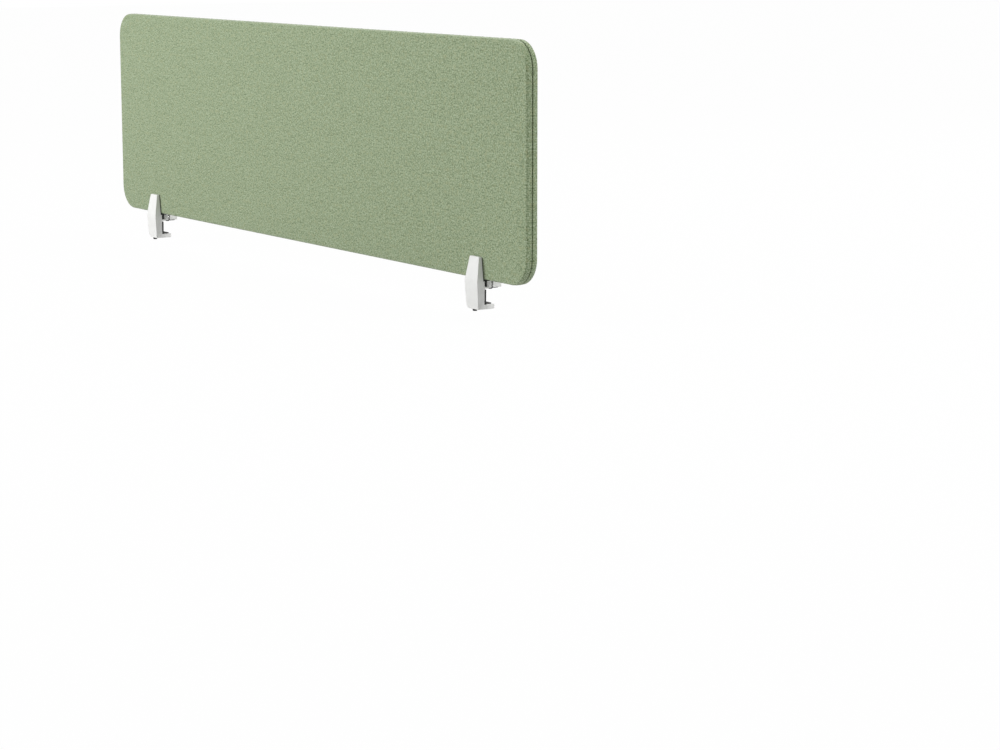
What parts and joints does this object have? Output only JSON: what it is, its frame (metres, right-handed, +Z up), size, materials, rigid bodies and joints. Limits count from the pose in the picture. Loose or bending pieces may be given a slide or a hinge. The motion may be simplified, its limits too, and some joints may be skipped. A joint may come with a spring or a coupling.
{
  "type": "desk privacy panel",
  "caption": "Fabric-covered desk privacy panel with rounded corners, held on the desktop's rear edge by white screw clamps with rubber-lined jaws.",
  "frame": {"origin": "on the desktop's rear upper edge, at the middle of the left clamp: the top of that clamp's rubber edge pad", "axes": "+X along the panel towards the right clamp, +Y towards the desk's user, +Z up"},
  "size_m": [1.6, 0.0554, 0.481],
  "materials": {
    "board": "raw chipboard",
    "wadding": "polyester wadding",
    "fabric": "heathered green woven wool",
    "spline": "dark flexible strip",
    "painted_zinc": "satin white powder coat",
    "black_rubber": "matt",
    "black_screw": "black oxide",
    "steel_pin": "ground",
    "brass": "plain"
  },
  "bodies": {
    "root": {"core_board": "board", "front_wadding": "wadding", "back_wadding": "wadding", "front_cover": "fabric", "back_cover": "fabric", "edge_spline": "spline", "left_outer_jaw": "painted_zinc", "left_outer_liner": "black_rubber", "left_edge_pad": "black_rubber", "left_front_desk_pad": "black_rubber", "left_grip_insert": "brass", "left_guide_pins": "steel_pin", "left_clamp_insert": "brass", "right_outer_jaw": "painted_zinc", "right_outer_liner": "black_rubber", "right_edge_pad": "black_rubber", "right_front_desk_pad": "black_rubber", "right_grip_insert": "brass", "right_guide_pins": "steel_pin", "right_clamp_insert": "brass"},
    "left_lower_carriage": {"left_lower_jaw": "painted_zinc", "left_lower_pad": "black_rubber"},
    "left_clamp_bolt": {"left_clamp_screw": "black_screw"},
    "left_inner_grip": {"left_inner_jaw": "painted_zinc", "left_inner_liner": "black_rubber", "left_rear_desk_pad": "black_rubber"},
    "left_grip_bolt": {"left_grip_screw": "black_screw"},
    "right_lower_carriage": {"right_lower_jaw": "painted_zinc", "right_lower_pad": "black_rubber"},
    "right_clamp_bolt": {"right_clamp_screw": "black_screw"},
    "right_inner_grip": {"right_inner_jaw": "painted_zinc", "right_inner_liner": "black_rubber", "right_rear_desk_pad": "black_rubber"},
    "right_grip_bolt": {"right_grip_screw": "black_screw"}
  },
  "joints": [
    {"name": "left_jaw_lift", "type": "slide", "parent": "root", "child": "left_lower_carriage", "axis": [0, 0, 1], "range_m": [-0.01, 0.01]},
    {"name": "left_clamp_screw_turn", "type": "hinge", "parent": "left_lower_carriage", "child": "left_clamp_bolt", "pos_m": [0, -0.011, -0.035], "axis": [0, 0, 1], "range_deg": [-4500, 4500]},
    {"name": "left_grip_open", "type": "slide", "parent": "root", "child": "left_inner_grip", "axis": [0, 1, 0], "range_m": [0, 0.004]},
    {"name": "left_grip_screw_turn", "type": "hinge", "parent": "left_inner_grip", "child": "left_grip_bolt", "pos_m": [0, 0.0319, 0.0085], "axis": [0, 1, 0], "range_deg": [0, 1800]},
    {"name": "right_jaw_lift", "type": "slide", "parent": "root", "child": "right_lower_carriage", "axis": [0, 0, 1], "range_m": [-0.01, 0.01]},
    {"name": "right_clamp_screw_turn", "type": "hinge", "parent": "right_lower_carriage", "child": "right_clamp_bolt", "pos_m": [1.276, -0.011, -0.035], "axis": [0, 0, 1], "range_deg": [-4500, 4500]},
    {"name": "right_grip_open", "type": "slide", "parent": "root", "child": "right_inner_grip", "axis": [0, 1, 0], "range_m": [0, 0.004]},
    {"name": "right_grip_screw_turn", "type": "hinge", "parent": "right_inner_grip", "child": "right_grip_bolt", "pos_m": [1.276, 0.0319, 0.0085], "axis": [0, 1, 0], "range_deg": [0, 1800]}
  ],
  "couplings": [
    {"joint": "left_clamp_screw_turn", "follows": "left_jaw_lift", "rad_per_m": 7854},
    {"joint": "left_grip_screw_turn", "follows": "left_grip_open", "rad_per_m": 7854},
    {"joint": "right_clamp_screw_turn", "follows": "right_jaw_lift", "rad_per_m": 7854},
    {"joint": "right_grip_screw_turn", "follows": "right_grip_open", "rad_per_m": 7854}
  ]
}
